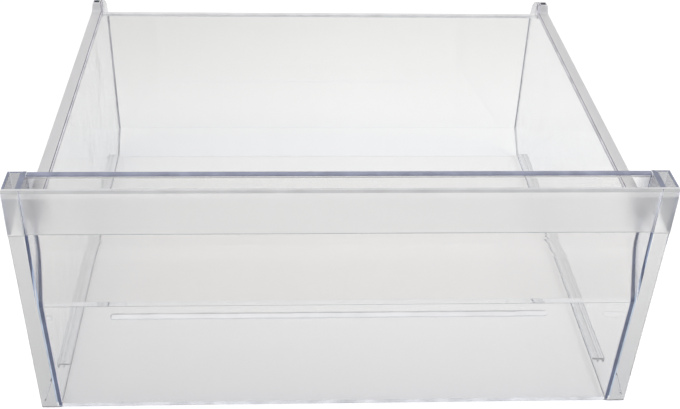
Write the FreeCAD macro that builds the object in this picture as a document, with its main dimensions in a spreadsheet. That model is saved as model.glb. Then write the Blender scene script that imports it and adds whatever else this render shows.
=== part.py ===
import FreeCAD, Part
import os
import re
import Sketcher

# Crisper drawer of clear plastic plates, with a frosted band, an open grip pocket and two side rails.
# X runs across the front, Y runs from the front to the back, Z is up. The origin is the middle of the
# ground that the drawer stands on. Lengths are millimetres and angles are degrees.

SIZES = {
    # Overall
    "drawer_width": 460.0,
    "drawer_depth": 410.0,
    "drawer_height": 200.0,
    # Thickness of the plates
    "wall_thick": 2.4,
    "panel_thick": 2.4,
    "cell_thick": 2.0,
    # Front panel: how far each edge leans in at the foot, and its lower corners
    "panel_taper": 3.0,
    "panel_corner": 1.5,
    # Frosted band on the front
    "band_thick": 0.8,
    "band_height": 36.0,
    "band_bevel": 6.5,
    "bevel_depth": 0.7,
    "wing_drop": 1.0,
    "seam_gap": 0.6,
    # Grip pocket behind the band, set in from the panel's edges
    "pocket_inset": 13.2,
    "pocket_gap": 19.4,
    "crease_height": 98.5,
    "scoop_angle": 31.0,
    "scoop_radius": 35.0,
    "pocket_bead_depth": 4.6,
    "pocket_bead_height": 3.0,
    "end_bead_width": 4.0,
    # Tub: how far the panel's wings reach past its floor, how its sides lean, and its clearance below
    "wing_width": 18.2,
    "side_lean": 1.525,
    "tub_lift": 0.6,
    "rear_rim_height": 146.0,
    "rear_bead_depth": 4.2,
    "rear_bead_height": 3.0,
    "back_lean": 7.1,
    "slope_rise": 18.2,
    "slope_angle": 34.0,
    # Side rails and their rear stops
    "rail_height": 158.0,
    "rail_width": 8.7,
    "rail_thick": 2.0,
    "rail_lip": 4.0,
    "rear_ear": 25.0,
    "stop_height": 166.5,
    "stop_length": 10.0,
    "stop_taper": 1.4,
    "stop_wall": 1.0,
    "stop_front": 2.6,
    "stop_recess": 7.0,
    "ear_radius": 20.0,
    # Ribbed ledges along the foot of the side walls
    "runner_width": 10.0,
    "runner_height": 4.6,
    "runner_plate": 2.0,
    "runner_rib": 1.4,
    "runner_lip": 1.8,
    "runner_start": 46.0,
    "web_place": 136.0,
    # Bead across the floor, set in from the side walls
    "bead_inset": 24.3,
    "bead_width": 7.0,
    "bead_height": 1.2,
    "bead_place": 101.0,
    # Diagonal ribs behind the lower corners of the wings
    "wing_rib_top": 26.0,
    "wing_rib_bottom": 5.0,
    "wing_rib_thick": 1.2,
    "wing_rib_depth": 6.0,
    "wing_rib_inset": 2.0,
}

# Places along Y
FRONT = "(-drawer_depth / 2)"
REAR = "(drawer_depth / 2)"
PANEL_FRONT = f"({FRONT} + band_thick)"
PANEL_BACK = f"({PANEL_FRONT} + panel_thick)"
POCKET_FRONT = f"({PANEL_BACK} + pocket_gap)"
POCKET_REAR = f"({POCKET_FRONT} + wall_thick)"
CELL_REAR = f"({POCKET_REAR} - cell_thick)"

# Heights
FLOOR_TOP = "(tub_lift + wall_thick)"
BAND_FOOT = "(drawer_height - band_height)"
WING_FOOT = f"({BAND_FOOT} - wing_drop)"
RIM_SEAT = "(rear_rim_height - rear_bead_height)"

# The pocket's sloped wall: where each of its faces meets the panel, and where each turns upright
CROTCH = "(crease_height + wall_thick / sin(scoop_angle))"
TURN_REAR = "(crease_height + (pocket_gap + wall_thick) / tan(scoop_angle))"
TURN_FRONT = f"({CROTCH} + pocket_gap / tan(scoop_angle))"

# Half widths
PANEL_HALF = "(drawer_width / 2)"
POCKET_HALF = f"({PANEL_HALF} - pocket_inset)"
FLOOR_HALF = f"({PANEL_HALF} - wing_width)"
END_OUTER = f"({POCKET_HALF} + wall_thick)"
SEAM = f"({POCKET_HALF} + wall_thick / 2)"
RIM_HALF = f"({FLOOR_HALF} + (rail_height - {FLOOR_TOP}) * tan(side_lean))"
RAIL_OUTER = f"({RIM_HALF} + wall_thick + rail_width)"

# The back of the tub: floor, slope and leaning wall, as the corners of its inner and outer faces
BACK_DEPTH = "(wall_thick / cos(back_lean))"
SLOPE_TOP = f"({FLOOR_TOP} + slope_rise)"
BACK_TOP_Y = f"({REAR} - rear_bead_depth / 2 - {BACK_DEPTH} / 2)"
BACK_FOOT_Y = f"({BACK_TOP_Y} - ({RIM_SEAT} - {SLOPE_TOP}) * tan(back_lean))"
FLOOR_END_Y = f"({BACK_FOOT_Y} - slope_rise / tan(slope_angle))"
HALF_TURN = "((90 - back_lean - slope_angle) / 2)"
BISECTOR = "((90 - back_lean + slope_angle) / 2)"
INNER = {
    "floor": (FLOOR_END_Y, FLOOR_TOP),
    "slope": (BACK_FOOT_Y, SLOPE_TOP),
    "back": (BACK_TOP_Y, RIM_SEAT),
}
OUTER = {
    "floor": (f"({FLOOR_END_Y} + wall_thick * tan(slope_angle / 2))", "tub_lift"),
    "slope": (
        f"({BACK_FOOT_Y} + wall_thick / cos({HALF_TURN}) * sin({BISECTOR}))",
        f"({SLOPE_TOP} - wall_thick / cos({HALF_TURN}) * cos({BISECTOR}))",
    ),
    "back": (f"({BACK_TOP_Y} + {BACK_DEPTH})", RIM_SEAT),
}
STOP_FRONT = f"({OUTER['back'][0]} - rear_ear)"

SIDES = {"left": "-1", "right": "1"}
NORMALS = {"XY_Plane": 1, "XZ_Plane": -1, "YZ_Plane": 1}

doc = FreeCAD.newDocument("crisper_drawer")
sheet = doc.addObject("Spreadsheet::Sheet", "Sizes")
for row, (word, number) in enumerate(SIZES.items(), start=1):
    sheet.set(f"A{row}", word.replace("_", " "))
    sheet.set(f"B{row}", str(number))
    sheet.setAlias(f"B{row}", word)
doc.recompute()

subparts = []


def bound(text):
    """Point every size's name in an expression at its cell in the sheet."""
    return re.sub(r"[a-z_]+", lambda found: f"Sizes.{found[0]}" if found[0] in SIZES else found[0], text)


def inner_half(height):
    """Half of the tub's inside width at a height: the side walls lean outwards."""
    return f"({FLOOR_HALF} + ({height} - {FLOOR_TOP}) * tan(side_lean))"


def outer_half(height):
    return f"({inner_half(height)} + wall_thick)"


def across(side, outline):
    """An outline for the right side, or the same one mirrored to the left."""
    return [(f"{SIDES[side]} * ({first})", second) for first, second in outline]


def sketch_on(body, plane, outlines, offset="0"):
    """A sketch on one of the body's own planes, each corner placed from the origin by two bound sizes."""
    sketch = body.newObject("Sketcher::SketchObject", f"{body.Name}_sketch")
    origin_plane = next(each for each in body.Origin.OriginFeatures if each.Role == plane)
    sketch.AttachmentSupport = [(origin_plane, "")]
    sketch.MapMode = "FlatFace"
    sketch.setExpression("AttachmentOffset.Base.z", bound(f"{NORMALS[plane]} * ({offset})"))
    for corners in outlines:
        first = sketch.GeometryCount
        ring = range(first, first + len(corners))
        for index in ring:
            # a rough ring of lines, which the bound sizes then pull to its true shape
            angle = FreeCAD.Rotation(FreeCAD.Vector(0, 0, 1), 360.0 * (index - first) / len(corners))
            following = FreeCAD.Rotation(FreeCAD.Vector(0, 0, 1), 360.0 * (index - first + 1) / len(corners))
            arm = FreeCAD.Vector(100.0 + first, 0, 0)
            sketch.addGeometry(Part.LineSegment(angle.multVec(arm), following.multVec(arm)))
        for index in ring:
            after = first + (index - first + 1) % len(corners)
            sketch.addConstraint(Sketcher.Constraint("Coincident", index, 2, after, 1))
        for index, place in zip(ring, corners):
            for kind, size in zip(("DistanceX", "DistanceY"), place):
                made = sketch.addConstraint(Sketcher.Constraint(kind, -1, 1, index, 1, 1.0))
                sketch.setExpression(f"Constraints[{made}]", bound(size))
    doc.recompute()
    return sketch


def new_body(name):
    body = doc.addObject("PartDesign::Body", name)
    body.Label = name
    subparts.append(body)
    return body


def add_pad(body, plane, outline, start, length):
    """Pad an outline along the plane's axis, from start, towards +X, +Y or +Z."""
    sketch = sketch_on(body, plane, [outline], start)
    pad = body.newObject("PartDesign::Pad", f"{body.Name}_pad")
    pad.Profile = sketch
    pad.Reversed = NORMALS[plane] < 0
    pad.setExpression("Length", bound(length))
    doc.recompute()
    return sketch


def add_trim(body, plane, outline):
    """Cut away all of the body that lies outside an outline."""
    reach = "(4 * (drawer_width + drawer_depth))"
    around = [(f"-{reach}", f"-{reach}"), (reach, f"-{reach}"), (reach, reach), (f"-{reach}", reach)]
    sketch = sketch_on(body, plane, [around, outline])
    trim = body.newObject("PartDesign::Pocket", f"{body.Name}_trim")
    trim.Profile = sketch
    trim.Type = "ThroughAll"
    trim.Midplane = True
    doc.recompute()
    return sketch


def add_round(body, sketch, lines, radius):
    """Round the edges that run through the starts of the given lines of a sketch."""
    normal = sketch.Placement.Rotation.multVec(FreeCAD.Vector(0, 0, 1))
    corners = [sketch.Placement.multVec(sketch.Geometry[line].StartPoint) for line in lines]
    found = []
    for number, edge in enumerate(body.Tip.Shape.Edges, start=1):
        if not isinstance(edge.Curve, Part.Line):
            continue
        if abs(edge.Curve.Direction.dot(normal)) < 0.99999:
            continue
        for corner in corners:
            if (corner - edge.Vertexes[0].Point).cross(normal).Length < 1e-4:
                found.append(f"Edge{number}")
    sharp = body.Tip
    fillet = body.newObject("PartDesign::Fillet", f"{body.Name}_round")
    fillet.Base = (sharp, found)
    fillet.setExpression("Radius", bound(radius))
    doc.recompute()


def front_panel():
    foot = f"({PANEL_HALF} - panel_taper)"
    notch = inner_half("tub_lift")
    step = f"({notch} + wall_thick)"
    right = [
        (notch, "tub_lift"),
        (step, "0"),
        (foot, "0"),
        (PANEL_HALF, BAND_FOOT),
        (PANEL_HALF, "drawer_height"),
    ]
    left = [(f"-{wide}", high) for wide, high in reversed(right)]
    body = new_body("front_panel")
    sketch = add_pad(body, "XZ_Plane", right + left, PANEL_FRONT, "panel_thick")
    add_round(body, sketch, [2, 7], "panel_corner")


def band_section(foot):
    """The band's section: flat in front, with a bevel along its top."""
    return [
        (FRONT, foot),
        (PANEL_FRONT, foot),
        (PANEL_FRONT, "drawer_height"),
        (f"({FRONT} + bevel_depth)", "drawer_height"),
        (FRONT, "(drawer_height - band_bevel)"),
    ]


def front_bands():
    middle = f"({SEAM} - seam_gap / 2)"
    add_pad(new_body("front_band"), "YZ_Plane", band_section(BAND_FOOT), f"-{middle}", f"2 * {middle}")
    inner = f"({SEAM} + seam_gap / 2)"
    starts = {"left": f"-{PANEL_HALF}", "right": inner}
    for side in SIDES:
        body = new_body(f"{side}_band_end")
        add_pad(body, "YZ_Plane", band_section(WING_FOOT), starts[side], f"{PANEL_HALF} - {inner}")


def grip_pocket():
    wall = [
        (PANEL_BACK, "crease_height"),
        (POCKET_REAR, TURN_REAR),
        (POCKET_REAR, "drawer_height"),
        (f"({POCKET_REAR} - pocket_bead_depth)", "drawer_height"),
        (f"({POCKET_REAR} - pocket_bead_depth)", "(drawer_height - pocket_bead_height)"),
        (POCKET_FRONT, "(drawer_height - pocket_bead_height)"),
        (POCKET_FRONT, TURN_FRONT),
        (PANEL_BACK, CROTCH),
    ]
    body = new_body("grip_pocket_wall")
    sketch = add_pad(body, "YZ_Plane", wall, f"-{POCKET_HALF}", f"2 * {POCKET_HALF}")
    add_round(body, sketch, [6], "scoop_radius")
    add_round(body, sketch, [1], "scoop_radius + wall_thick")

    end = [
        (PANEL_BACK, "crease_height"),
        (POCKET_REAR, TURN_REAR),
        (POCKET_REAR, "drawer_height"),
        (PANEL_BACK, "drawer_height"),
    ]
    bead_foot = "(drawer_height - pocket_bead_height)"
    bead = [
        (POCKET_HALF, bead_foot),
        (f"({POCKET_HALF} + end_bead_width)", bead_foot),
        (f"({POCKET_HALF} + end_bead_width)", "drawer_height"),
        (POCKET_HALF, "drawer_height"),
    ]
    starts = {"left": f"-{END_OUTER}", "right": POCKET_HALF}
    for side in SIDES:
        body = new_body(f"{side}_pocket_end")
        sketch = add_pad(body, "YZ_Plane", end, starts[side], "wall_thick")
        add_round(body, sketch, [1], "scoop_radius + wall_thick")
        add_pad(body, "XZ_Plane", across(side, bead), PANEL_BACK, f"{CELL_REAR} - {PANEL_BACK}")


def corner_cells():
    """The hollow, open-topped cells at the panel's top corners: a side and a back plate each."""
    top = "drawer_height"
    inner = f"({PANEL_HALF} - cell_thick)"
    lowest = f"({PANEL_HALF} - panel_taper * wing_drop / {BAND_FOOT})"
    side_plate = [
        (inner, WING_FOOT),
        (lowest, WING_FOOT),
        (PANEL_HALF, BAND_FOOT),
        (PANEL_HALF, top),
        (inner, top),
    ]
    back_plate = [(END_OUTER, WING_FOOT), (inner, WING_FOOT), (inner, top), (END_OUTER, top)]
    depth = f"{POCKET_REAR} - {PANEL_BACK}"
    for side in SIDES:
        plate = new_body(f"{side}_corner_side")
        add_pad(plate, "XZ_Plane", across(side, side_plate), PANEL_BACK, depth)
        plate = new_body(f"{side}_corner_back")
        add_pad(plate, "XZ_Plane", across(side, back_plate), CELL_REAR, "cell_thick")


def side_walls():
    section = [
        (inner_half("tub_lift"), "tub_lift"),
        (outer_half("tub_lift"), "tub_lift"),
        (outer_half("stop_height"), "stop_height"),
        (inner_half("stop_height"), "stop_height"),
    ]
    outline = [
        (PANEL_BACK, "tub_lift"),
        (PANEL_BACK, "crease_height"),
        (POCKET_REAR, TURN_REAR),
        (POCKET_REAR, "rail_height"),
        (STOP_FRONT, "rail_height"),
        (STOP_FRONT, "stop_height"),
        (OUTER["back"][0], "stop_height"),
        OUTER["back"],
        OUTER["slope"],
        OUTER["floor"],
    ]
    outside_ring = 4
    for side in SIDES:
        body = new_body(f"{side}_side_wall")
        add_pad(body, "XZ_Plane", across(side, section), FRONT, "drawer_depth")
        sketch = add_trim(body, "YZ_Plane", outline)
        add_round(body, sketch, [outside_ring + 2], "scoop_radius + wall_thick")
        add_round(body, sketch, [outside_ring + 6], "ear_radius")


def tub_plates():
    """Floor, slope and back wall, mitred to each other and cut to fit between the leaning side walls."""
    plates = {
        "floor_panel": [(PANEL_BACK, "tub_lift"), OUTER["floor"], INNER["floor"], (PANEL_BACK, FLOOR_TOP)],
        "rear_slope": [INNER["floor"], OUTER["floor"], OUTER["slope"], INNER["slope"]],
        "back_wall": [INNER["slope"], OUTER["slope"], OUTER["back"], INNER["back"]],
        "rear_rim": [
            (f"({REAR} - rear_bead_depth)", RIM_SEAT),
            (REAR, RIM_SEAT),
            (REAR, "rear_rim_height"),
            (f"({REAR} - rear_bead_depth)", "rear_rim_height"),
        ],
    }
    between = [
        (f"-{inner_half('0')}", "0"),
        (inner_half("0"), "0"),
        (inner_half("drawer_height"), "drawer_height"),
        (f"-{inner_half('drawer_height')}", "drawer_height"),
    ]
    for name, outline in plates.items():
        body = new_body(name)
        add_pad(body, "YZ_Plane", outline, f"-{PANEL_HALF}", "drawer_width")
        add_trim(body, "XZ_Plane", between)


def top_rails():
    under = "(rail_height - rail_thick)"
    lip_foot = f"({under} - rail_lip)"
    lip_inner = f"({RAIL_OUTER} - rail_thick)"
    section = [
        (outer_half(under), under),
        (lip_inner, under),
        (lip_inner, lip_foot),
        (RAIL_OUTER, lip_foot),
        (RAIL_OUTER, "rail_height"),
        (outer_half("rail_height"), "rail_height"),
    ]
    post_outer = f"({RAIL_OUTER} - stop_taper)"
    post = [
        (outer_half(lip_foot), lip_foot),
        (RAIL_OUTER, lip_foot),
        (RAIL_OUTER, "rail_height"),
        (post_outer, "stop_height"),
        (outer_half("stop_height"), "stop_height"),
    ]
    recess = [
        (f"({outer_half('stop_height')} + stop_wall)", f"({STOP_FRONT} + stop_front)"),
        (f"({post_outer} - stop_wall)", f"({STOP_FRONT} + stop_front)"),
        (f"({post_outer} - stop_wall)", f"({STOP_FRONT} + stop_length - stop_front)"),
        (f"({outer_half('stop_height')} + stop_wall)", f"({STOP_FRONT} + stop_length - stop_front)"),
    ]
    for side in SIDES:
        rail = new_body(f"{side}_top_rail")
        add_pad(rail, "XZ_Plane", across(side, section), POCKET_REAR, f"{STOP_FRONT} - {POCKET_REAR}")
        stop = new_body(f"{side}_rear_stop")
        add_pad(stop, "XZ_Plane", across(side, post), STOP_FRONT, "stop_length")
        sketch = sketch_on(stop, "XY_Plane", [across(side, recess)], "stop_height")
        cut = stop.newObject("PartDesign::Pocket", f"{stop.Name}_recess")
        cut.Profile = sketch
        cut.setExpression("Length", bound("stop_recess"))
        doc.recompute()


def lower_runners():
    """A ledge with a lip, a rib between and one cross web, outside the foot of each side wall."""
    under = "(runner_height - runner_plate)"
    tip = f"({outer_half('runner_height')} + runner_width)"
    lip = f"({tip} - runner_lip)"
    rib = f"({outer_half('runner_height')} + runner_width / 2)"
    section = [
        (outer_half(under), under),
        (f"({rib} - runner_rib / 2)", under),
        (f"({rib} - runner_rib / 2)", "0"),
        (f"({rib} + runner_rib / 2)", "0"),
        (f"({rib} + runner_rib / 2)", under),
        (lip, under),
        (lip, "0"),
        (tip, "0"),
        (tip, "runner_height"),
        (outer_half("runner_height"), "runner_height"),
    ]
    rib_face = f"({rib} + runner_rib / 2)"
    web = [(rib_face, "0"), (lip, "0"), (lip, under), (rib_face, under)]
    start = f"({FRONT} + runner_start)"
    for side in SIDES:
        body = new_body(f"{side}_lower_runner")
        add_pad(body, "XZ_Plane", across(side, section), start, f"{FLOOR_END_Y} - {start}")
        add_pad(body, "XZ_Plane", across(side, web), f"{start} + web_place", "runner_rib")


def floor_bead():
    near = f"({FRONT} + bead_place)"
    far = f"({near} + bead_width)"
    half = f"({FLOOR_HALF} - bead_inset)"
    outline = [(f"-{half}", near), (half, near), (half, far), (f"-{half}", far)]
    body = new_body("floor_bead")
    sketch = add_pad(body, "XY_Plane", outline, FLOOR_TOP, "bead_height")
    add_round(body, sketch, [0, 1, 2, 3], "bead_width * 0.49")


def wing_ribs():
    """A diagonal rib behind each wing's lower corner, from beside the tub to near the wing's edge."""
    low = "wing_rib_bottom"
    high = "wing_rib_top"
    outer = f"({PANEL_HALF} - panel_taper - wing_rib_inset)"
    inner = f"({outer_half(high)} + wing_rib_inset)"
    outline = [
        (f"({outer} - wing_rib_thick)", low),
        (outer, low),
        (f"({inner} + wing_rib_thick)", high),
        (inner, high),
    ]
    for side in SIDES:
        rib = new_body(f"{side}_wing_rib")
        add_pad(rib, "XZ_Plane", across(side, outline), PANEL_BACK, "wing_rib_depth")


front_panel()
front_bands()
grip_pocket()
corner_cells()
side_walls()
tub_plates()
top_rails()
lower_runners()
floor_bead()
wing_ribs()
doc.recompute()

# Every object has to be sound before anything is written
for each in doc.Objects:
    if "Invalid" in each.State or "Error" in each.State:
        raise RuntimeError(f"{each.Name} failed: {each.State}")
for body in subparts:
    if body.Shape.isNull() or not body.Shape.isValid() or len(body.Shape.Solids) != 1:
        raise RuntimeError(f"{body.Label} is not one sound solid")

os.makedirs("parts", exist_ok=True)
for body in subparts:
    body.Shape.exportStep(f"parts/{body.Label}.step")
    print(f"{body.Label}: {body.Shape.Volume / 1000.0:.2f} cm3")
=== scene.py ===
import math

import bmesh
import bpy
from mathutils import Matrix, Vector


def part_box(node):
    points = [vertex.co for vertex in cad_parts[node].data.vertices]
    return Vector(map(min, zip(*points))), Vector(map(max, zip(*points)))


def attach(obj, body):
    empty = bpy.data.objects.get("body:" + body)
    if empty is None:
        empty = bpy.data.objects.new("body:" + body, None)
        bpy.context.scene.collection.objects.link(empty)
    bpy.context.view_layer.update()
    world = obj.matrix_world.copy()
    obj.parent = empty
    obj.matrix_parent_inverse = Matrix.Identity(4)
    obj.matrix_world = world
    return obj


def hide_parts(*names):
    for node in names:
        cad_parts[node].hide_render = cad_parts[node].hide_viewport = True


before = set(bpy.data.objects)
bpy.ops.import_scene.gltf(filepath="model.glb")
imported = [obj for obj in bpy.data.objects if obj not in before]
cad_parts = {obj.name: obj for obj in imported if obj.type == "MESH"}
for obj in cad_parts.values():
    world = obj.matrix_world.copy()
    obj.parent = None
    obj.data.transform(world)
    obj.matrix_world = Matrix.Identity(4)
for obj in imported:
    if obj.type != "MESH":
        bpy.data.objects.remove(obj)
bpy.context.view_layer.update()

scene = bpy.context.scene
scene.view_settings.view_transform = "Standard"
scene.cycles.max_bounces = 40
scene.cycles.transmission_bounces = 36
scene.cycles.transparent_max_bounces = 48
scene.cycles.glossy_bounces = 10
scene.cycles.caustics_reflective = False
scene.cycles.caustics_refractive = False

# The camera looks down into the drawer from in front of its left half. The picture's size, the point where
# the camera's axis meets it and the focal length are in its pixels; the angles are in degrees.
PICTURE_WIDTH, PICTURE_HEIGHT = 680.0, 409.0
AXIS_ACROSS, AXIS_DOWN = 325.4, 201.0
FOCAL_LENGTH = 1061.8
SENSOR_WIDTH = 36.0
CAMERA_PLACE = Vector((-0.0471, -0.7999, 0.5944))
CAMERA_PITCH = 34.06
CAMERA_YAW = 3.25
CAMERA_ROLL = 1.63

# Places on the drawer, in metres, and how far the tub's side walls lean out for each metre of height
WALL_LEAN = math.tan(math.radians(1.525))
WALL_TOP = 0.158
BELOW_EARS = 0.16
WALL_FRONT_END = -0.17
WALL_FOOT = 0.004
RAIL_FOOT = 0.1555
RIM_FOOT = 0.1984
RIM_CORNERS = 0.199
ABOVE_POCKET = 0.19
FLOOR_FRONT = -0.19
PANEL_BACK = -0.2
PANEL_FOOT = 0.0012
BETWEEN_WINGS = 0.2

# Radii of softened edges, the angle from which an edge is softened and the one from which it stays sharp in
# the shading, and how far each plate is drawn in from its neighbours
EDGE = 0.00035
BAND_EDGE = 0.0003
RAIL_EDGE = 0.0005
STOP_EDGE = 0.0004
BEAD_EDGE = 0.0002
RIM_EDGE = 0.0011
PANEL_FOOT_EDGE = 0.0022
SOFTENED_ANGLE = math.radians(25.0)
SHARP_ANGLE = math.radians(20.0)
CLEARANCE = 0.00004

# Widths of lines and fillets, and how far a fillet stands off its corner
CREASE_LINE = 0.0004
BAND_LINE = 0.0007
BAND_CROWN = 0.0024
RECESS_MARGIN = 0.0006
WALL_DARK_LINE = 0.0007
WALL_LIGHT_LINE = 0.0009
BEAD_REAR_LINE = 0.0016
BEAD_LEFT_LINE = 0.0012
NAVY_FILLET = 0.0005
BLUE_FILLET = 0.0017
ROSY_FILLET = 0.0006
REAR_FILLET = 0.0009
FILLET_GAP = 0.0001
BLUE_GAP = 0.00005

# The height over which a tint that starts at a foot comes in
FOOT_BLEND = 0.012

# What lamp light keeps in passing through one face of clear and of frosted plastic
CLEAR_PASSING = (0.985, 0.987, 0.99, 1.0)
FROSTED_PASSING = (0.95, 0.955, 0.96, 1.0)

# The rays that show the white studio, and those that carry the lamps' light
SEEING = ("Is Camera Ray", "Is Glossy Ray", "Is Transmission Ray")
LIGHTING = ("Is Shadow Ray", "Is Diffuse Ray")


def aim_camera():
    pitch, yaw, roll = (math.radians(angle) for angle in (CAMERA_PITCH, CAMERA_YAW, CAMERA_ROLL))
    ahead = Vector((math.sin(yaw) * math.cos(pitch), math.cos(yaw) * math.cos(pitch), -math.sin(pitch)))
    level = Vector((math.cos(yaw), -math.sin(yaw), 0))
    above = level.cross(ahead)
    right = math.cos(roll) * level + math.sin(roll) * above
    up = -math.sin(roll) * level + math.cos(roll) * above
    camera = bpy.data.cameras.new("camera")
    camera.lens = FOCAL_LENGTH * SENSOR_WIDTH / PICTURE_WIDTH
    camera.sensor_width = SENSOR_WIDTH
    camera.shift_x = (PICTURE_WIDTH / 2 - AXIS_ACROSS) / PICTURE_WIDTH
    camera.shift_y = (AXIS_DOWN - PICTURE_HEIGHT / 2) / PICTURE_WIDTH
    camera.clip_start = 0.01
    view = bpy.data.objects.new("camera", camera)
    view.matrix_world = Matrix((right, up, -ahead)).transposed().to_4x4()
    view.location = CAMERA_PLACE
    scene.collection.objects.link(view)
    scene.camera = view


class Tree:
    """A short way to lay out the nodes of a material, the world or a shape."""

    def __init__(self, owner):
        if isinstance(owner, bpy.types.NodeTree):
            self.tree = owner
        else:
            owner.use_nodes = True
            self.tree = owner.node_tree
        self.tree.nodes.clear()

    def fill(self, node, name, value):
        """Sets or links the input in use with that name: a Mix node has several called A."""
        if isinstance(name, int):
            socket = node.inputs[name]
        else:
            socket = next(socket for socket in node.inputs if socket.name == name and socket.enabled)
        if isinstance(value, bpy.types.NodeSocket):
            self.tree.links.new(value, socket)
        elif isinstance(value, bpy.types.Node):
            self.tree.links.new(value.outputs[0], socket)
        else:
            socket.default_value = value

    def add(self, kind, inputs=None, **settings):
        node = self.tree.nodes.new(kind)
        for name, value in settings.items():
            setattr(node, name, value)
        for name, value in (inputs or {}).items():
            self.fill(node, name, value)
        return node

    def fade(self, value, near, far, first=0.0, last=1.0):
        """Goes from first to last while the value goes from near to far."""
        ends = {"Value": value, "From Min": near, "From Max": far, "To Min": first, "To Max": last}
        return self.add("ShaderNodeMapRange", ends)

    def calculate(self, operation, *values):
        return self.add("ShaderNodeMath", dict(enumerate(values)), operation=operation)

    def place(self):
        return self.add("ShaderNodeTexCoord").outputs["Object"]

    def noise(self, place, scale, detail):
        return self.add("ShaderNodeTexNoise", {"Vector": place, "Scale": scale, "Detail": detail})

    def rays(self, kinds):
        """1 for a ray of any of these kinds."""
        path = self.add("ShaderNodeLightPath")
        total = path.outputs[kinds[0]]
        for kind in kinds[1:]:
            total = self.calculate("MAXIMUM", total, path.outputs[kind]).outputs[0]
        return total


def let_through(tree, surface, passing):
    """The surface, except that lamp light passes it, and so does all that crosses a joint between two plates,
    which are one moulding: there the plastic has no surface."""
    lamps = tree.rays(LIGHTING)
    joint = tree.add("ShaderNodeAttribute", attribute_name="joined").outputs["Fac"]
    either = tree.calculate("MAXIMUM", lamps, joint)
    clear = tree.add("ShaderNodeBsdfTransparent", {"Color": passing})
    return tree.add("ShaderNodeMixShader", {0: either, 1: surface, 2: clear})


def clear_plastic(name, tint, fading=None, lean=0.0, foot=None, haze=0.02, depth=12.0):
    """Clear moulded plastic, dark blue where it is looked at through its edges, with slight waves and haze.
    fading gives an axis, two distances from the middle along it, and the tint that it reaches at the second.
    With lean, the distances across grow by that much of the height, as the tub's side walls do, and the
    heights fall by that much towards the back. foot is the height at which the fading comes in. depth is
    how strongly the plastic tints what is seen through it, 0 for a bead that is too thin to tint."""
    material = bpy.data.materials.new(name)
    tree = Tree(material)
    place = tree.place()
    if fading:
        axis, near, far, other = fading
        parts = tree.add("ShaderNodeSeparateXYZ", {0: place}).outputs
        along = parts[axis]
        if axis == "X":
            along = tree.calculate("MULTIPLY_ADD", parts["Z"], -lean, tree.calculate("ABSOLUTE", along))
        elif lean:
            along = tree.calculate("MULTIPLY_ADD", parts["Y"], lean, along)
        reach = tree.fade(along, near, far)
        if foot:
            reach = tree.calculate("MULTIPLY", reach, tree.fade(parts["Z"], foot, foot + FOOT_BLEND))
        blend = tree.add("ShaderNodeMix", {"Factor": reach, "A": tint, "B": other}, data_type="RGBA")
        tint = blend.outputs[2]
    waves = tree.noise(place, scale=26.0, detail=2.0)
    clouds = tree.noise(place, scale=9.0, detail=5.0)
    body = tree.add(
        "ShaderNodeBsdfPrincipled",
        {
            "Base Color": tint,
            "Roughness": tree.fade(clouds, 0.0, 1.0, first=haze * 0.6, last=haze * 1.6),
            "Normal": tree.add("ShaderNodeBump", {"Height": waves, "Strength": 0.25, "Distance": 0.0006}),
            "Transmission Weight": 1.0,
            "IOR": 1.55,
        },
    )
    output = tree.add("ShaderNodeOutputMaterial", {"Surface": let_through(tree, body, CLEAR_PASSING)})
    if depth:
        inside = tree.add("ShaderNodeVolumeAbsorption", {"Color": (0.08, 0.21, 0.62, 1.0), "Density": depth})
        tree.fill(output, "Volume", inside)
    return material


def edge_plastic(name, tint, rough=0.22, uneven=0.23):
    """The narrow edge of a clear plate, where the tint of the whole plate gathers, with painted shade where
    light is trapped in the edge and painted highlights where it catches the bright studio; lighter and darker
    along it by the share called uneven."""
    material = bpy.data.materials.new(name)
    tree = Tree(material)
    streaks = tree.add("ShaderNodeMapping", {"Vector": tree.place(), "Scale": (60.0, 60.0, 60.0)})
    clouds = tree.noise(streaks, scale=1.0, detail=4.0)
    shade = tree.fade(clouds, 0.3, 0.7, first=1.0 - uneven, last=1.0 + uneven)
    dark = tree.add("ShaderNodeVectorMath", {0: tint[:3], "Scale": shade}, operation="SCALE")
    body = tree.add("ShaderNodeBsdfPrincipled", {"Base Color": dark, "Roughness": rough, "IOR": 1.5})
    tree.add("ShaderNodeOutputMaterial", {"Surface": let_through(tree, body, CLEAR_PASSING)})
    return material


def frosted_plastic(name, tint, rough, through):
    """Plastic with a fine etched grain, which passes light and blurs what is behind."""
    material = bpy.data.materials.new(name)
    tree = Tree(material)
    place = tree.place()
    grain = tree.noise(place, scale=1800.0, detail=2.0)
    clouds = tree.noise(place, scale=14.0, detail=3.0)
    body = tree.add(
        "ShaderNodeBsdfPrincipled",
        {
            "Base Color": tint,
            "Roughness": tree.fade(clouds, 0.0, 1.0, first=rough - 0.05, last=rough + 0.05),
            "Normal": tree.add("ShaderNodeBump", {"Height": grain, "Strength": 0.2, "Distance": 0.0001}),
            "Transmission Weight": through,
            "IOR": 1.5,
        },
    )
    tree.add("ShaderNodeOutputMaterial", {"Surface": let_through(tree, body, FROSTED_PASSING)})
    return material


def plain_forms():
    """Every plate as packed, with its triangles joined into whole faces."""
    forms = {}
    for name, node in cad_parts.items():
        form = bmesh.new()
        form.from_mesh(node.data)
        bmesh.ops.remove_doubles(form, verts=form.verts, dist=1e-6)
        bmesh.ops.dissolve_limit(form, angle_limit=math.radians(1.0), verts=form.verts, edges=form.edges)
        form.normal_update()
        forms[name] = form
    return forms


FORMS = plain_forms()


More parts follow.
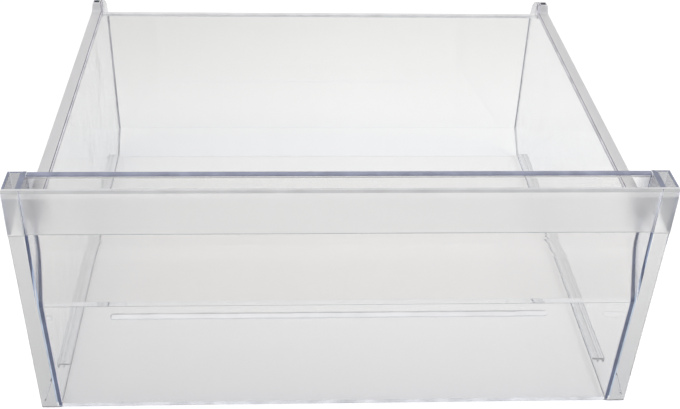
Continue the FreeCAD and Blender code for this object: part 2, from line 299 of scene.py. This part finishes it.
def lies_on(face, patch):
    """True if a face and a neighbour's face lie in one plane, look at each other and may overlap."""
    same_plane, touching, level = 2e-5, 1e-5, 1e-4
    if face.normal.dot(patch.normal) > -0.9999:
        return False
    if abs((face.verts[0].co - patch.verts[0].co).dot(patch.normal)) > same_plane:
        return False
    for axis in range(3):
        ours = [corner.co[axis] for corner in face.verts]
        theirs = [corner.co[axis] for corner in patch.verts]
        for one, other in ((ours, theirs), (theirs, ours)):
            slack = 4 * touching * (max(other) - min(other) < level)
            if min(one) > max(other) - touching + slack:
                return False
    return True


def cut_faces(form, faces, place, direction):
    """Cuts these faces along a plane."""
    around = dict.fromkeys(part for face in faces for part in (face, *face.edges, *face.verts))
    bmesh.ops.bisect_plane(form, geom=list(around), dist=1e-6, plane_co=place, plane_no=direction)


def mark_joints(name):
    """A copy of a plate, cut along the outlines of its neighbours, with the faces that it shares with them
    marked."""
    form = FORMS[name].copy()
    joined = form.faces.layers.float.new("joined")
    for other, neighbour in FORMS.items():
        if other == name:
            continue
        for patch in neighbour.faces:
            if not any(lies_on(face, patch) for face in form.faces):
                continue
            for line in patch.edges:
                start, end = (corner.co for corner in line.verts)
                across = (end - start).cross(patch.normal).normalized()
                cut_faces(form, [face for face in form.faces if lies_on(face, patch)], start, across)
            form.normal_update()
            for face in form.faces:
                middle = face.calc_center_median()
                if lies_on(face, patch) and bmesh.geometry.intersect_face_point(patch, middle):
                    face[joined] = 1.0
    return form, joined


def score(form, chosen, place, direction):
    """Cuts a line across the chosen faces, where their look changes."""
    faces = [face for face in form.faces if chosen(face.normal, face.calc_center_median())]
    cut_faces(form, faces, place, direction)
    form.normal_update()


def fillet_shape():
    """Carries a three-cornered section up a path of points, level all the way and closed at both ends."""
    group = bpy.data.node_groups.new("fillet", "GeometryNodeTree")
    for name, kind in (("Path", "Geometry"), ("Width", "Float"), ("Depth", "Float"), ("Look", "Material")):
        group.interface.new_socket(name, in_out="INPUT", socket_type=f"NodeSocket{kind}")
    group.interface.new_socket("Fillet", in_out="OUTPUT", socket_type="NodeSocketGeometry")
    tree = Tree(group)
    given = tree.add("NodeGroupInput").outputs
    place = tree.add("ShaderNodeSeparateXYZ", {0: tree.add("GeometryNodeInputPosition")}).outputs

    # The path becomes an upright pole, which keeps how far each of its points was aside
    points = tree.add("GeometryNodeMeshToPoints", {"Mesh": given["Path"]})
    path = tree.add("GeometryNodePointsToCurves", {"Points": points, "Weight": place["Z"]})
    kept = tree.add("GeometryNodeCaptureAttribute", {"Geometry": path})
    kept.capture_items.new("VECTOR", "aside")
    tree.fill(kept, "aside", tree.add("ShaderNodeCombineXYZ", {"X": place["X"], "Y": place["Y"]}))
    upright = tree.add("ShaderNodeCombineXYZ", {"Z": place["Z"]})
    pole = tree.add("GeometryNodeSetPosition", {"Geometry": kept, "Position": upright})

    # The section has its first corner on the pole and the others to the side of it and behind it
    corner = tree.add("GeometryNodeIndexSwitch", data_type="VECTOR")
    corner.index_switch_items.new()
    tree.fill(corner, "Index", tree.add("GeometryNodeInputIndex"))
    tree.fill(corner, "1", tree.add("ShaderNodeCombineXYZ", {"X": given["Width"]}))
    tree.fill(corner, "2", tree.add("ShaderNodeCombineXYZ", {"Y": given["Depth"]}))
    ring = tree.add("GeometryNodeCurvePrimitiveCircle", {"Resolution": 3})
    section = tree.add("GeometryNodeSetPosition", {"Geometry": ring, "Position": corner})

    # The swept pole leans back to where the path was
    swept = tree.add("GeometryNodeCurveToMesh", {"Curve": pole, "Profile Curve": section, "Fill Caps": True})
    leaning = tree.add("GeometryNodeSetPosition", {"Geometry": swept, "Offset": kept.outputs["aside"]})
    whole = tree.add("GeometryNodeRealizeInstances", {"Geometry": leaning})
    fillet = tree.add("GeometryNodeSetMaterial", {"Geometry": whole, "Material": given["Look"]})
    tree.add("NodeGroupOutput", {"Fillet": fillet})
    return group


FILLET = fillet_shape()


def add_fillet(form, path, width, depth, look, place):
    """A small fillet along the upright corner between two plates. look is the material at that place."""
    line = bpy.data.objects.new("path", bpy.data.meshes.new("path"))
    line.data.from_pydata(path, [], [])
    scene.collection.objects.link(line)
    shape = line.modifiers.new("fillet", "NODES")
    shape.node_group = FILLET
    sockets = {item.name: item.identifier for item in FILLET.interface.items_tree if item.in_out == "INPUT"}
    for name, value in (("Width", width), ("Depth", depth), ("Look", look)):
        shape[sockets[name]] = value
    made = bpy.data.meshes.new_from_object(line.evaluated_get(bpy.context.evaluated_depsgraph_get()))
    made.polygons.foreach_set("material_index", [place] * len(made.polygons))
    if width * depth < 0:
        made.flip_normals()
    form.from_mesh(made)
    bpy.data.objects.remove(line)
    bpy.data.meshes.remove(made)


def soften(form, joined, radius, wanted, segments=2):
    """Rounds the wanted edges, but none that a joint lies on."""
    sharp = [
        line for line in form.edges
        if line.calc_face_angle(0.0) > SOFTENED_ANGLE
        and not any(face[joined] for face in line.link_faces)
        and wanted((line.verts[0].co + line.verts[1].co) / 2)
    ]
    bmesh.ops.bevel(
        form, geom=sharp, offset=radius, segments=segments, profile=0.5, affect="EDGES",
        clamp_overlap=True, material=-1,
    )


def moulded(name, material, edge=EDGE, rounded=None, cuts=(), strips=()):
    """A plate with softened edges, drawn in a hair so that it never shares a face with its neighbour.
    rounded is a larger radius and a test for the edges that have it; cuts are materials of narrow edge faces
    with a test for each, by their direction and middle; strips are fillets: path, width, depth and look."""
    form, joined = mark_joints(name)
    form.normal_update()
    for face in form.faces:
        for place, (_, chosen) in enumerate(cuts, 1):
            if chosen(face.normal, face.calc_center_median()):
                face.material_index = place
                face[joined] = 0.0
                break
    shifts = [(corner, corner.normal * corner.calc_shell_factor() * CLEARANCE) for corner in form.verts]
    for corner, shift in shifts:
        corner.co -= shift
    if rounded:
        radius, chosen_edge = rounded
        soften(form, joined, radius, chosen_edge, segments=6)
        soften(form, joined, edge, lambda middle: not chosen_edge(middle))
    else:
        soften(form, joined, edge, lambda middle: True)
    for place, (path, width, depth, look) in enumerate(strips, 1 + len(cuts)):
        add_fillet(form, path, width, depth, look, place)
    mesh = bpy.data.meshes.new(f"{name}_moulded")
    form.to_mesh(mesh)
    form.free()
    mesh.shade_smooth()
    mesh.set_sharp_from_angle(angle=SHARP_ANGLE)
    for look in (material, *(look for look, _ in cuts), *(look for *_, look in strips)):
        mesh.materials.append(look)
    piece = bpy.data.objects.new(f"{name}_moulded", mesh)
    scene.collection.objects.link(piece)
    even = piece.modifiers.new("even_normals", "WEIGHTED_NORMAL")
    even.keep_sharp = True
    even.weight = 100
    shaped = piece.evaluated_get(bpy.context.evaluated_depsgraph_get())
    piece.data = bpy.data.meshes.new_from_object(shaped)
    piece.modifiers.clear()
    bpy.data.meshes.remove(mesh)
    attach(piece, "root")
    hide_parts(name)


def set_floor():
    """A white floor. Seen through the plastic, it shades off towards the front and the left, and far from the
    drawer it fades into the white surroundings."""
    floor_mesh = bpy.data.meshes.new("floor")
    reach = 4.0
    corners = [(-reach, -reach, 0), (reach, -reach, 0), (reach, reach, 0), (-reach, reach, 0)]
    floor_mesh.from_pydata(corners, [], [(0, 1, 2, 3)])
    floor = bpy.data.objects.new("studio_floor", floor_mesh)
    floor.location.z = -0.0005
    scene.collection.objects.link(floor)
    paint = bpy.data.materials.new("white_floor")
    tree = Tree(paint)
    place = tree.place()
    parts = tree.add("ShaderNodeSeparateXYZ", {0: place}).outputs
    ahead = tree.fade(parts["Y"], -0.22, 0.0, first=0.83)
    across = tree.fade(parts["X"], -0.32, 0.05, first=0.88)
    both = tree.calculate("MULTIPLY", ahead, across)
    shade = tree.fade(tree.rays(("Is Transmission Ray",)), 0.0, 1.0, first=1.0, last=both)
    direct = tree.rays(SEEING)
    matt = tree.add("ShaderNodeBsdfDiffuse", {"Color": tree.calculate("MULTIPLY", shade, 0.8)})
    shining = tree.calculate("MULTIPLY", direct, 0.24)
    glow = tree.add("ShaderNodeEmission", {"Strength": tree.calculate("MULTIPLY", shining, shade)})
    near = tree.add("ShaderNodeAddShader", {0: matt, 1: glow})
    distance = tree.add("ShaderNodeVectorMath", {0: place}, operation="LENGTH").outputs["Value"]
    far = tree.calculate("MULTIPLY", tree.fade(distance, 0.9, 2.0), direct)
    white = tree.add("ShaderNodeEmission", {"Strength": 1.0})
    surface = tree.add("ShaderNodeMixShader", {0: far, 1: near, 2: white})
    tree.add("ShaderNodeOutputMaterial", {"Surface": surface})
    floor_mesh.materials.append(paint)


def set_surroundings():
    """White all round, with a darker ceiling for what isn't seen by the camera itself."""
    world = bpy.data.worlds.new("studio")
    scene.world = world
    tree = Tree(world)
    direction = tree.add("ShaderNodeSeparateXYZ", {0: tree.add("ShaderNodeTexCoord").outputs["Generated"]})
    ceiling = tree.fade(direction.outputs["Z"], 0.25, 0.6, first=1.0, last=0.45)
    away = tree.add("ShaderNodeBackground", {"Color": (1, 1, 1, 1), "Strength": ceiling})
    plain = tree.add("ShaderNodeBackground", {"Color": (1, 1, 1, 1), "Strength": 1.0})
    mixed = tree.add("ShaderNodeMixShader", {0: tree.rays(("Is Camera Ray",)), 1: away, 2: plain})
    tree.add("ShaderNodeOutputWorld", {"Surface": mixed})


def set_lamps():
    """Four soft lamps, turned to the drawer, which only its matt surfaces show."""
    for name, place, size, power in (
        ("lamp_over", (-0.5, -0.3, 1.7), 1.2, 14.0),
        ("lamp_right", (1.7, 0.2, 1.1), 0.9, 13.0),
        ("lamp_left", (-1.7, 0.3, 1.0), 0.9, 2.0),
        ("lamp_front", (0.3, -2.2, 0.9), 1.2, 3.0),
    ):
        lamp = bpy.data.lights.new(name, "AREA")
        lamp.size = size
        lamp.energy = power
        stand = bpy.data.objects.new(name, lamp)
        stand.visible_glossy = False
        stand.visible_transmission = False
        stand.location = place
        stand.rotation_euler = (Vector((0, 0, 0.1)) - Vector(place)).to_track_quat("-Z", "Y").to_euler()
        scene.collection.objects.link(stand)


aim_camera()
set_floor()
set_surroundings()
set_lamps()

# Clear plates. The side walls darken in their ears. Towards its ends the pocket's wall darkens with painted
# shade, and the panel's wings beyond the side walls carry a painted shadow.
clear = clear_plastic(
    "clear_sides", (0.85, 0.845, 0.83, 1.0), ("Z", 0.2470, 0.2490, (0.58, 0.575, 0.59, 1.0)), lean=0.5
)
# The corner cells and the pocket's ends are tinted darker: painted shade in the corners of the tub
corner = clear_plastic("clear_corner_painted_shade", (0.52, 0.52, 0.53, 1.0))
pocket_end = clear_plastic("clear_pocket_end_painted_shade", (0.72, 0.72, 0.73, 1.0))
runner = clear_plastic("clear_runner", (0.97, 0.965, 0.95, 1.0))
bead = clear_plastic("clear_bead", (0.97, 0.965, 0.95, 1.0), depth=0.0)
back = clear_plastic("clear_back", (0.86, 0.855, 0.84, 1.0), ("Z", 0.04, 0.13, (0.80, 0.795, 0.775, 1.0)))
slope = clear_plastic("clear_slope", (0.91, 0.905, 0.885, 1.0))
# The pocket's wall fades darker towards its ends: painted shade in the narrow gaps by the corner cells
pocket = clear_plastic(
    "clear_pocket", (0.96, 0.95, 0.93, 1.0), ("X", 0.202, 0.2165, (0.50, 0.50, 0.525, 1.0)), foot=0.150
)
# The panel's wings are tinted darker: a painted shadow of the drawer on the floor beneath them
panel = clear_plastic(
    "clear_panel", (0.955, 0.945, 0.93, 1.0), ("X", 0.2142, 0.2158, (0.66, 0.655, 0.645, 1.0)), lean=WALL_LEAN
)
floor_plate = clear_plastic("clear_floor", (0.95, 0.935, 0.90, 1.0))

# Frosted parts
frosted = frosted_plastic("frosted_band", (1.0, 0.99, 0.97, 1.0), 0.35, 0.82)
# A lighter copy of the band's frosted plastic for its top bevel: a painted highlight of the light from above
bevel = frosted_plastic("frosted_bevel_painted_highlight", (1.0, 0.99, 0.98, 1.0), 0.4, 0.6)
rail = frosted_plastic("frosted_rail", (0.68, 0.67, 0.675, 1.0), 0.4, 0.6)
stop = frosted_plastic("frosted_stop", (0.72, 0.71, 0.715, 1.0), 0.4, 0.25)

# Narrow edges, from the dark ones to the light ones
# Near black: painted shade inside the rear stops' slots
painted_slot_shade = edge_plastic("painted_slot_shade", (0.085, 0.09, 0.12, 1.0), 0.5)
deep_navy = edge_plastic("deep_navy_edge", (0.085, 0.11, 0.20, 1.0))
violet = edge_plastic("violet_edge", (0.12, 0.115, 0.14, 1.0))
slate_edge = edge_plastic("slate_edge", (0.19, 0.205, 0.27, 1.0))
navy = edge_plastic("navy_edge", (0.25, 0.265, 0.345, 1.0))
soft_violet = edge_plastic("soft_violet_edge", (0.36, 0.355, 0.38, 1.0))
pale_edge = edge_plastic("pale_edge", (0.50, 0.49, 0.50, 1.0))
# The band's foot, under the step where it stands proud of the panel: painted shade
band_foot_shade = edge_plastic("band_foot_shade", (0.50, 0.50, 0.50, 1.0), uneven=0.1)
grey_edge = edge_plastic("grey_edge", (0.56, 0.56, 0.57, 1.0), uneven=0.07)
lilac_edge = edge_plastic("lilac_edge", (0.60, 0.58, 0.63, 1.0))
rim_edge = edge_plastic("rim_edge", (0.66, 0.655, 0.66, 1.0), uneven=0.07)
# Pale blue: a painted highlight beside the side walls' front ends
blue_highlight = edge_plastic("painted_blue_highlight_edge", (0.64, 0.76, 0.92, 1.0))
# Rosy: a painted highlight, the pink fringe of light refracted at the side walls' inner front corner
rosy_highlight = edge_plastic("painted_rosy_highlight_edge", (0.74, 0.69, 0.74, 1.0))
bead_top = edge_plastic("bead_top", (0.80, 0.80, 0.81, 1.0), 0.5, 0.04)
bead_front = edge_plastic("bead_front", (0.86, 0.86, 0.865, 1.0), 0.5, 0.04)
# Light grey: painted light on the floor's front end, where light passes the joint with the panel
painted_light_edge = edge_plastic("painted_light_edge", (0.90, 0.90, 0.90, 1.0), 0.6)


# Which way a face looks, and where it is: direction is its normal, at its middle

def upward(direction, at):
    return direction.z > 0.7


def forward(direction, at):
    return direction.y < -0.9


def sideways(direction, at):
    return abs(direction.x) > 0.9


def bevelled(direction, at):
    return 0.05 < direction.z < 0.9 and direction.y < -0.5


def wall_front(direction, at):
    return direction.y < -0.5 and at.y < WALL_FRONT_END


def by_panel(direction, at):
    return forward(direction, at) and at.y < PANEL_BACK


def above_pocket(direction, at):
    return forward(direction, at) and at.z > ABOVE_POCKET


def front_corner_paths(form):
    """The outer and the inner corner along the front end of a side wall, from the floor to the rail."""
    heights = {}
    for face in form.faces:
        if wall_front(face.normal, face.calc_center_median()):
            for corner in face.verts:
                heights.setdefault(round(corner.co.z, 4), []).append(corner.co)
    outer, inner = [], []
    for height in sorted(heights):
        level = min(max(height, WALL_FOOT), RAIL_FOOT)
        for path, choose in ((outer, max), (inner, min)):
            corner = choose(heights[height], key=lambda place: abs(place.x))
            path.append(Vector((corner.x, corner.y + FILLET_GAP, level)))
    return outer, inner


def rear_fillets(form, look):
    """The small fillets between the front face of a plate across the tub and the two side walls."""
    front = max((face for face in form.faces if face.normal.y < -0.3), key=lambda face: face.calc_area())
    found = []
    for side in (-1, 1):
        ends = [corner.co for corner in front.verts if corner.co.x * side > 0]
        ends.sort(key=lambda place: place.z)
        path = [place + Vector((side * -FILLET_GAP, -FILLET_GAP, 0)) for place in ends]
        found.append((path, side * -REAR_FILLET, -REAR_FILLET, look))
    return found


def reach_of(form, choose, axis):
    """The lowest place of a plate along an axis, with min, or the highest, with max."""
    return choose(corner.co[axis] for corner in form.verts)


def make_band(node, form):
    foot = reach_of(form, min, 2) + BAND_LINE
    crown = reach_of(form, max, 2) - BAND_CROWN
    score(form, forward, (0, 0, foot), (0, 0, 1))
    score(form, bevelled, (0, 0, crown), (0, 0, 1))
    moulded(
        node, frosted, BAND_EDGE,
        cuts=[
            (grey_edge, lambda direction, at: bevelled(direction, at) and at.z > crown),
            # The painted highlight on the bevel
            (bevel, bevelled),
            (grey_edge, upward),
            # Painted shade under the band's step
            (band_foot_shade, lambda direction, at: at.z < foot and direction.y < 0.5),
        ],
    )


def make_rear_stop(node):
    low, high = (Vector(place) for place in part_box(node))

    def in_recess(direction, at):
        inside = (low[axis] + RECESS_MARGIN < at[axis] < high[axis] - RECESS_MARGIN for axis in range(3))
        return direction.z > -0.5 and all(inside)

    # The faces inside the recess are painted dark: painted shade in the slot
    moulded(node, stop, STOP_EDGE, cuts=[(painted_slot_shade, in_recess)])


def make_front_panel(node):
    moulded(
        node, panel,
        rounded=(PANEL_FOOT_EDGE, lambda at: at.z < PANEL_FOOT and abs(at.x) < BETWEEN_WINGS),
        cuts=[(grey_edge, lambda direction, at: upward(direction, at) and at.z > ABOVE_POCKET)],
    )


def make_pocket_wall(node, form, crease):
    score(form, above_pocket, (0, 0, RIM_FOOT), (0, 0, 1))
    moulded(
        node, pocket, rounded=(RIM_EDGE, lambda at: at.z > RIM_CORNERS),
        cuts=[
            (navy, lambda direction, at: at.z > RIM_FOOT),
            (deep_navy, sideways),
            (violet, lambda direction, at: by_panel(direction, at) and at.z < crease),
        ],
    )


def make_floor_panel(node):
    def front_edge(direction, at):
        return forward(direction, at) and at.y < FLOOR_FRONT

    # The floor's front end, fused to the panel, is painted light for the light that passes through the joint
    moulded(node, floor_plate, cuts=[(painted_light_edge, front_edge), (violet, sideways)])


def make_side_wall(node, form, side):
    dark = max(abs(corner.co.x) for corner in form.verts if corner.co.z < BELOW_EARS) - WALL_DARK_LINE
    light = dark - WALL_LIGHT_LINE
    score(form, upward, (side * dark, 0, 0), (1, 0, 0))
    score(form, upward, (side * light, 0, 0), (1, 0, 0))
    outer, inner = front_corner_paths(form)
    behind = [place + Vector((0, BLUE_GAP, 0)) for place in outer]
    moulded(
        node, clear,
        cuts=[
            (deep_navy, wall_front),
            (violet, lambda direction, at: upward(direction, at) and abs(at.x) > dark),
            (lilac_edge, lambda direction, at: upward(direction, at) and abs(at.x) > light),
            (soft_violet, upward),
            (lilac_edge, lambda direction, at: forward(direction, at) and at.z > WALL_TOP),
        ],
        strips=[
            (outer, side * NAVY_FILLET, NAVY_FILLET, deep_navy),
            # Behind the navy fillet, a pale blue fillet: a painted highlight of refracted light
            (behind, side * BLUE_FILLET, BLUE_FILLET, blue_highlight),
            # Inside, a rosy fillet: a painted highlight of refracted light
            (inner, side * -ROSY_FILLET, ROSY_FILLET, rosy_highlight),
        ],
    )


def make_rear_rim(node):
    def shown(direction, at):
        return upward(direction, at) or forward(direction, at)

    moulded(node, back, cuts=[(rim_edge, shown)])


def make_bead(node, form):
    rear = reach_of(form, max, 1) - BEAD_REAR_LINE
    left = reach_of(form, min, 0) + BEAD_LEFT_LINE
    score(form, upward, (0, rear, 0), (0, 1, 0))
    score(form, upward, (left, 0, 0), (1, 0, 0))
    moulded(
        node, bead, BEAD_EDGE,
        cuts=[
            # The rear and left strips of the bead's top: painted shade along its far edges
            (pale_edge, lambda direction, at: upward(direction, at) and (at.y > rear or at.x < left)),
            (bead_front, lambda direction, at: direction.y < -0.3),
            (bead_top, upward),
        ],
    )


def make_piece(node, crease):
    """The finished copy of one plate."""
    form = FORMS[node]
    middle = sum((corner.co for corner in form.verts), Vector()) / len(form.verts)
    if "band" in node:
        make_band(node, form)
    elif "top_rail" in node:
        moulded(node, rail, RAIL_EDGE)
    elif "rear_stop" in node:
        make_rear_stop(node)
    elif node == "front_panel":
        make_front_panel(node)
    elif node == "grip_pocket_wall":
        make_pocket_wall(node, form, crease)
    elif node == "floor_panel":
        make_floor_panel(node)
    elif "side_wall" in node:
        make_side_wall(node, form, math.copysign(1.0, middle.x))
    elif "corner" in node:
        moulded(node, corner, cuts=[(slate_edge, upward)])
    elif "pocket_end" in node:
        moulded(node, pocket_end, cuts=[(slate_edge, upward)])
    elif node == "back_wall":
        strips = rear_fillets(form, soft_violet)
        moulded(node, back, cuts=[(violet, sideways)], strips=strips)
    elif node == "rear_slope":
        strips = rear_fillets(form, pale_edge)
        moulded(node, slope, cuts=[(violet, sideways)], strips=strips)
    elif node == "rear_rim":
        make_rear_rim(node)
    elif node == "floor_bead":
        make_bead(node, form)
    elif "runner" in node:
        moulded(node, runner)
    else:
        moulded(node, clear)


def mark_crease():
    """Cuts the dark line where the pocket's sloped wall meets the panel, and gives its height."""
    form = FORMS["grip_pocket_wall"]
    contact = min(form.faces, key=lambda face: face.calc_center_median().y)
    height = min(corner.co.z for corner in contact.verts) + CREASE_LINE
    score(form, by_panel, (0, 0, height), (0, 0, 1))
    return height


crease_height = mark_crease()
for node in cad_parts:
    make_piece(node, crease_height)
